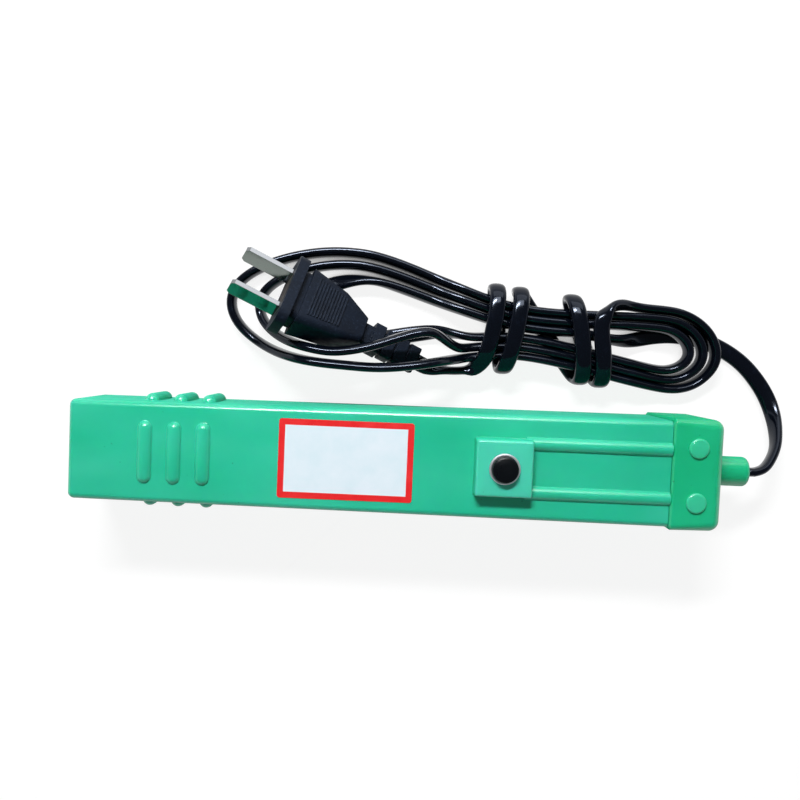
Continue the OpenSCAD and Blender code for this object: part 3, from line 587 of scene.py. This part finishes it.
# Metal: depth of its fine marks and radius of its edges
METAL_MARKS, METAL_EDGES = 0.000006, 0.00012


def metal(name, colour, rough, brushed=(1, 1, 1)):
    """Plated or bare metal with fine marks in its roughness and colour."""
    paint = Paint(name, Metallic=1.0)
    marks = paint.noise(900, detail=3, rough=0.6, stretch=brushed)
    paint.set("Base Color", paint.mix(paint.vary(marks, 0, 1), colour, scaled(colour, 0.86)))
    paint.set("Roughness", paint.vary(marks, rough, rough + 0.1))
    edges = paint.soft_edges(METAL_EDGES)
    paint.set("Normal", paint.bump(marks, distance=METAL_MARKS, strength=0.4, normal=edges))
    return paint.material


def blade_metal():
    """Plated blades with a painted highlight: paler in colour on upper edges than on faces."""
    paint = Paint("blade_metal", Metallic=1.0)
    marks = paint.noise(500, detail=3, rough=0.6)
    # Painted highlight: the base colour turns paler where a face looks up
    painted_edge_highlight = paint.remap(paint.facing_up(), (0.55, 0.85), (0, 1))
    paint.set("Base Color", paint.mix(painted_edge_highlight, rgb(118, 124, 120), rgb(148, 150, 155)))
    paint.set("Roughness", paint.vary(marks, 0.06, 0.12))
    edges = paint.soft_edges(METAL_EDGES)
    paint.set("Normal", paint.bump(marks, distance=METAL_MARKS, strength=0.4, normal=edges))
    return paint.material


def dull_plastic(name, colour, rough, grain=900, depth=0.00001, darker=0.8, specular=0.45):
    """Moulded plastic with slight variation and a fine grain."""
    paint = Paint(name, Specular_IOR_Level=specular)
    cloud = paint.vary(paint.noise(70, detail=3, rough=0.6), 0, 1)
    paint.set("Base Color", paint.mix(cloud, colour, scaled(colour, darker)))
    sheen = paint.noise(200, detail=2, rough=0.5)
    paint.set("Roughness", paint.vary(sheen, rough - 0.06, rough + 0.06))
    skin = paint.noise(grain, detail=2, rough=0.6)
    edges = paint.soft_edges(0.0002)
    paint.set("Normal", paint.bump(skin, distance=depth, strength=0.6, normal=edges))
    return paint.material


def cord_black():
    """Glossy black flexible sheath with faint dust and a fine grain."""
    paint = Paint("cord_black", Specular_IOR_Level=0.3, Specular_Tint=(0.7, 0.8, 1))
    dust = paint.remap(paint.noise(220, detail=4, rough=0.6), (0.55, 0.8), (0, 0.12))
    paint.set("Base Color", paint.mix(dust, rgb(6, 9, 17), rgb(40, 50, 74)))
    paint.set("Roughness", paint.vary(paint.noise(160, detail=3, rough=0.6), 0.09, 0.15))
    skin = paint.noise(300, detail=2, rough=0.5)
    paint.set("Normal", paint.bump(skin, distance=0.00001, strength=0.3))
    return paint.material


def plug_plastic():
    """Matte black flexible plug with a grainy moulded skin and pale specks of wear."""
    paint = Paint("plug_plastic", Specular_IOR_Level=0.17, Specular_Tint=(0.76, 0.86, 1))
    speck = paint.remap(paint.noise(1300, detail=3, rough=0.7), (0.55, 0.75), (0, 0.5))
    cloud = paint.vary(paint.noise(160, detail=3, rough=0.6), 0, 1)
    base = paint.mix(cloud, rgb(9, 15, 26), rgb(14, 22, 36))
    paint.set("Base Color", paint.mix(speck, base, rgb(46, 58, 78)))
    paint.set("Roughness", paint.vary(paint.noise(700, detail=3, rough=0.6), 0.46, 0.66))
    skin = paint.noise(1700, detail=3, rough=0.7)
    edges = paint.soft_edges(0.0003)
    paint.set("Normal", paint.bump(skin, distance=0.00006, strength=0.7, normal=edges))
    return paint.material


def winding_wire():
    """Enamelled copper wire in close turns round the bobbin."""
    paint = Paint("coil_wire", Metallic=0.8, Roughness=0.3)
    wave = paint.add("ShaderNodeTexWave", bands_direction="X", wave_profile="SIN")
    paint.put(wave.inputs["Scale"], 400)
    paint.put(wave.inputs["Distortion"], 0.2)
    paint.put(wave.inputs["Vector"], paint.place())
    tone = paint.vary(paint.noise(120, detail=2, rough=0.5), 0, 1)
    paint.set("Base Color", paint.mix(tone, rgb(176, 84, 40), rgb(142, 60, 26)))
    paint.set("Normal", paint.bump(wave.outputs["Fac"], distance=0.0001, strength=0.8))
    return paint.material


def add_materials(cord, lead_in, spring):
    brass = metal("contact_brass", rgb(214, 178, 96), 0.25)
    switch = dull_plastic("switch_plastic", rgb(226, 220, 204), 0.45)
    base = dull_plastic("base_plastic", rgb(40, 32, 28), 0.5)
    bobbin = dull_plastic("bobbin_plastic", rgb(222, 202, 160), 0.45)
    plug = plug_plastic()
    finishes = {
        "case_tube": moulded_green(
            "green_plastic", rgb(34, 192, 152), rgb(29, 180, 140), rgb(84, 212, 186)),
        "end_cap": moulded_green(
            "cap_plastic", rgb(18, 184, 132), rgb(14, 172, 116), rgb(40, 200, 152)),
        # Studs: a paler copy of the cap plastic, a painted highlight on their raised tops
        "cap_rivets": moulded_green(
            "stud_plastic_painted_highlight", rgb(56, 196, 154), rgb(36, 184, 134), rgb(78, 206, 172)),
        "label": label_paper(),
        "switch_bezel": metal("bezel_chrome", rgb(206, 206, 212), 0.4),
        "button": dull_plastic(
            "button_plastic", rgb(8, 12, 17), 0.3, 1200, 0.000004, darker=0.7, specular=0.2),
        "contact_bridge": brass,
        "switch_body": switch,
        "switch_base": base,
        "switch_terminals": brass,
        "core_laminations": metal("core_steel", rgb(120, 124, 130), 0.42, brushed=(0.2, 1, 1)),
        "bobbin": bobbin,
        "coil_retainer": bobbin,
        "coil_winding": winding_wire(),
        "coil_tape": dull_plastic("coil_tape", rgb(222, 190, 96), 0.4, 500, 0.00004),
        "wire_live": dull_plastic("wire_brown", rgb(104, 56, 30), 0.35),
        "wire_switched": dull_plastic("wire_black", rgb(22, 22, 24), 0.35),
        "wire_neutral": dull_plastic("wire_blue", rgb(52, 106, 186), 0.35),
        "splice_sleeves": switch,
        "cord_stop": plug,
        "plug_body": plug,
        "plug_insert": base,
        "plug_blades": blade_metal(),
    }
    for name, finish in finishes.items():
        for slot in nodes[name].material_slots:
            slot.material = finish
    sheath = cord_black()
    for piece in (cord, lead_in):
        piece.data.materials.append(sheath)
    spring.data.materials.append(metal("spring_steel", rgb(176, 178, 182), 0.22))


# Shading of the solids: corners this near are joined, and edges up to this angle look round
SAME_PLACE = 0.000002
SMOOTH_UP_TO = math.radians(32)


def smooth_group():
    """Modifier nodes that join split corners and shade smooth up to an angle."""
    group = bpy.data.node_groups.new("smooth_by_angle", "GeometryNodeTree")
    group.interface.new_socket("Geometry", in_out="INPUT", socket_type="NodeSocketGeometry")
    group.interface.new_socket("Geometry", in_out="OUTPUT", socket_type="NodeSocketGeometry")
    start, end = group.nodes.new("NodeGroupInput"), group.nodes.new("NodeGroupOutput")
    drop = group.nodes.new("GeometryNodeRemoveAttribute")
    drop.inputs["Name"].default_value = "custom_normal"
    merge = group.nodes.new("GeometryNodeMergeByDistance")
    merge.inputs["Distance"].default_value = SAME_PLACE
    angle = group.nodes.new("GeometryNodeInputMeshEdgeAngle")
    compare = group.nodes.new("FunctionNodeCompare")
    compare.operation = "GREATER_THAN"
    compare.inputs[1].default_value = SMOOTH_UP_TO
    faces = group.nodes.new("GeometryNodeSetShadeSmooth")
    faces.domain = "FACE"
    edges = group.nodes.new("GeometryNodeSetShadeSmooth")
    edges.domain = "EDGE"
    edges.inputs["Shade Smooth"].default_value = False
    link = group.links.new
    link(start.outputs[0], drop.inputs["Geometry"])
    link(drop.outputs[0], merge.inputs["Geometry"])
    link(merge.outputs[0], faces.inputs["Geometry"])
    link(faces.outputs[0], edges.inputs["Geometry"])
    link(angle.outputs["Unsigned Angle"], compare.inputs[0])
    link(compare.outputs[0], edges.inputs["Selection"])
    link(edges.outputs[0], end.inputs[0])
    return group


def smooth_nodes():
    group = smooth_group()
    for piece in nodes.values():
        if not piece.hide_render:
            piece.modifiers.new("smooth", "NODES").node_group = group


# Floor: white where it is seen, apart from shadows, and grey in the light that it gives back
FLOOR_SIZE = 40
FLOOR_GREY, SHADED_GREY = 0.42, 0.15
CONTACT_REACH, CONTACT_SAMPLES = 0.006, 16
CONTACT_RANGE, GLOW_RANGE = (0.05, 0.45), (0.02, 0.88)


def add_floor():
    bpy.ops.mesh.primitive_plane_add(size=FLOOR_SIZE, location=(0, 0, 0))
    floor = bpy.context.object
    floor.name = "floor"
    material = bpy.data.materials.new("floor")
    material.use_nodes = True
    tree = material.node_tree
    tree.nodes.clear()
    out = tree.nodes.new("ShaderNodeOutputMaterial")
    plain = tree.nodes.new("ShaderNodeBsdfDiffuse")
    plain.inputs["Color"].default_value = (FLOOR_GREY, FLOOR_GREY, FLOOR_GREY, 1)
    shaded = tree.nodes.new("ShaderNodeBsdfDiffuse")
    shaded.inputs["Color"].default_value = (SHADED_GREY, SHADED_GREY, SHADED_GREY, 1)
    glow = tree.nodes.new("ShaderNodeEmission")
    near = tree.nodes.new("ShaderNodeAmbientOcclusion")
    near.samples = CONTACT_SAMPLES
    near.inputs["Distance"].default_value = CONTACT_REACH
    open_air = tree.nodes.new("ShaderNodeMapRange")
    set_range(open_air, CONTACT_RANGE, GLOW_RANGE)
    seen = tree.nodes.new("ShaderNodeAddShader")
    path = tree.nodes.new("ShaderNodeLightPath")
    pick = tree.nodes.new("ShaderNodeMixShader")
    link = tree.links.new
    either = path.outputs["Is Camera Ray"]
    for ray in ("Is Glossy Ray", "Is Transmission Ray"):
        most = tree.nodes.new("ShaderNodeMath")
        most.operation = "MAXIMUM"
        link(either, most.inputs[0])
        link(path.outputs[ray], most.inputs[1])
        either = most.outputs[0]
    link(near.outputs["AO"], open_air.inputs["Value"])
    link(open_air.outputs["Result"], glow.inputs["Strength"])
    link(shaded.outputs[0], seen.inputs[0])
    link(glow.outputs[0], seen.inputs[1])
    link(either, pick.inputs["Fac"])
    link(plain.outputs[0], pick.inputs[1])
    link(seen.outputs[0], pick.inputs[2])
    link(pick.outputs[0], out.inputs["Surface"])
    floor.data.materials.append(material)


# Studio light: a sky that is pale near the floor and dim above, and four lamps, in metres and watts
SKY_COLOUR = (0.97, 0.98, 1.0, 1)
SKY_HEIGHTS = (math.sin(math.radians(10)), math.sin(math.radians(22)))
SKY_LEVELS = (0.93, 0.12)


def add_sky():
    world = bpy.data.worlds.new("studio")
    scene.world = world
    world.use_nodes = True
    tree = world.node_tree
    back = tree.nodes["Background"]
    back.inputs["Color"].default_value = SKY_COLOUR
    place = tree.nodes.new("ShaderNodeTexCoord")
    split = tree.nodes.new("ShaderNodeSeparateXYZ")
    level = tree.nodes.new("ShaderNodeMapRange")
    level.interpolation_type = "SMOOTHSTEP"
    set_range(level, SKY_HEIGHTS, SKY_LEVELS)
    tree.links.new(place.outputs["Generated"], split.inputs[0])
    tree.links.new(split.outputs["Z"], level.inputs["Value"])
    tree.links.new(level.outputs["Result"], back.inputs["Strength"])


def add_lamp(name, at, aim, size, power):
    data = bpy.data.lights.new(name, "AREA")
    data.shape = "RECTANGLE"
    data.size, data.size_y = size
    data.energy = power
    lamp = bpy.data.objects.new(name, data)
    scene.collection.objects.link(lamp)
    lamp.location = at
    lamp.rotation_euler = (Vector(aim) - Vector(at)).to_track_quat("-Z", "Y").to_euler()
    return lamp


def add_lamps():
    """The key lights and shines, the two windows only shine, and the fill only lights."""
    add_lamp("key", at=(-0.16, 0.63, 0.7), aim=(0, 0.02, 0), size=(0.4, 0.09), power=10.8)
    window = add_lamp("window", at=(-0.1, 0.68, 0.7), aim=(0, 0.03, 0), size=(0.8, 0.26), power=5.5)
    low = add_lamp("low_window", at=(0.1, 0.9, 0.4), aim=(0, 0.03, 0), size=(1.0, 0.35), power=2.2)
    fill = add_lamp("fill", at=(-0.5, -0.2, 0.75), aim=(0, 0, 0), size=(0.6, 0.6), power=0.3)
    window.visible_diffuse = False
    low.visible_diffuse = False
    fill.visible_glossy = False


scene.view_settings.view_transform = "Standard"
add_camera()
cord, lead_in = add_cord()
spring = add_spring()
add_materials(cord, lead_in, spring)
smooth_nodes()
add_floor()
add_sky()
add_lamps()
